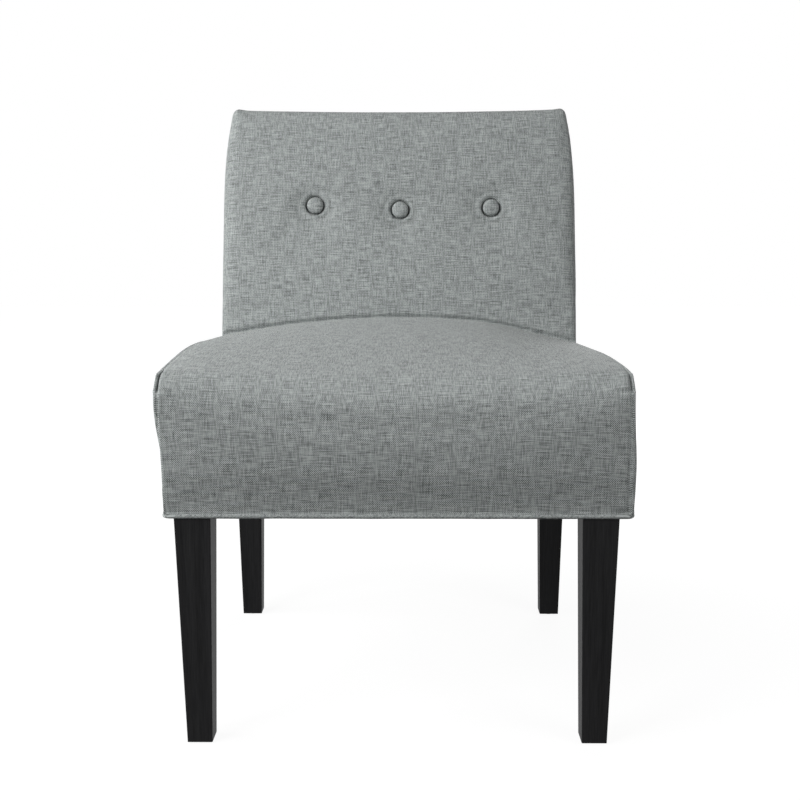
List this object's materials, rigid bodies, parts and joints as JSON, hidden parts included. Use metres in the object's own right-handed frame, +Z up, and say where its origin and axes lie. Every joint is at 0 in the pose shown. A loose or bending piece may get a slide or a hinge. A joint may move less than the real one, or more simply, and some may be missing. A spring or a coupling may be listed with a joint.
{
  "type": "armless accent chair",
  "caption": "Armless upholstered accent chair with a crowned waterfall seat, a leaning buttoned back, a welted lower edge and tapered square legs.",
  "frame": {"origin": "on the floor, under the middle of the chair's overall width and depth", "axes": "+Z up, the chair faces -Y, +X to the right as seen from the front"},
  "size_m": [0.56, 0.6351, 0.8184],
  "materials": {
    "ash_cloth": "heathered ash-grey plain weave, matt",
    "black_wood": "black lacquered hardwood, satin",
    "frame_wood": "planed hardwood, unfinished",
    "plywood": "plywood, unfinished",
    "foam": "open-cell polyurethane foam",
    "padding": "polyester fibre wadding",
    "webbing": "elastic webbing",
    "deck_cloth": "woven deck cloth",
    "dust_cloth": "black non-woven dust cloth",
    "twine": "waxed tufting twine",
    "steel": "zinc-plated steel",
    "nylon": "moulded nylon, matt"
  },
  "bodies": {
    "root": {"seat_cover": "ash_cloth", "left_seat_side_panel": "ash_cloth", "right_seat_side_panel": "ash_cloth", "seat_welt": "ash_cloth", "inside_back_cover": "ash_cloth", "outside_back_cover": "ash_cloth", "left_tuft_button": "ash_cloth", "centre_tuft_button": "ash_cloth", "right_tuft_button": "ash_cloth", "front_left_leg": "black_wood", "front_right_leg": "black_wood", "rear_left_leg": "black_wood", "rear_right_leg": "black_wood", "front_seat_rail": "frame_wood", "left_seat_rail": "frame_wood", "right_seat_rail": "frame_wood", "rear_seat_rail": "frame_wood", "left_back_post": "frame_wood", "right_back_post": "frame_wood", "back_top_rail": "frame_wood", "back_lower_rail": "frame_wood", "front_left_corner_block": "frame_wood", "front_right_corner_block": "frame_wood", "rear_left_corner_block": "frame_wood", "rear_right_corner_block": "frame_wood", "frame_dowels": "frame_wood", "back_panel": "plywood", "seat_foam": "foam", "back_foam": "foam", "rail_padding": "padding", "lengthwise_webbing": "webbing", "crosswise_webbing": "webbing", "seat_deck_cloth": "deck_cloth", "dust_cover": "dust_cloth", "tuft_twines": "twine", "corner_block_screws": "steel", "back_panel_screws": "steel", "leg_hanger_bolts": "steel", "leg_inserts": "steel", "tuft_washers": "steel", "leg_glides": "nylon"}
  },
  "joints": []
}
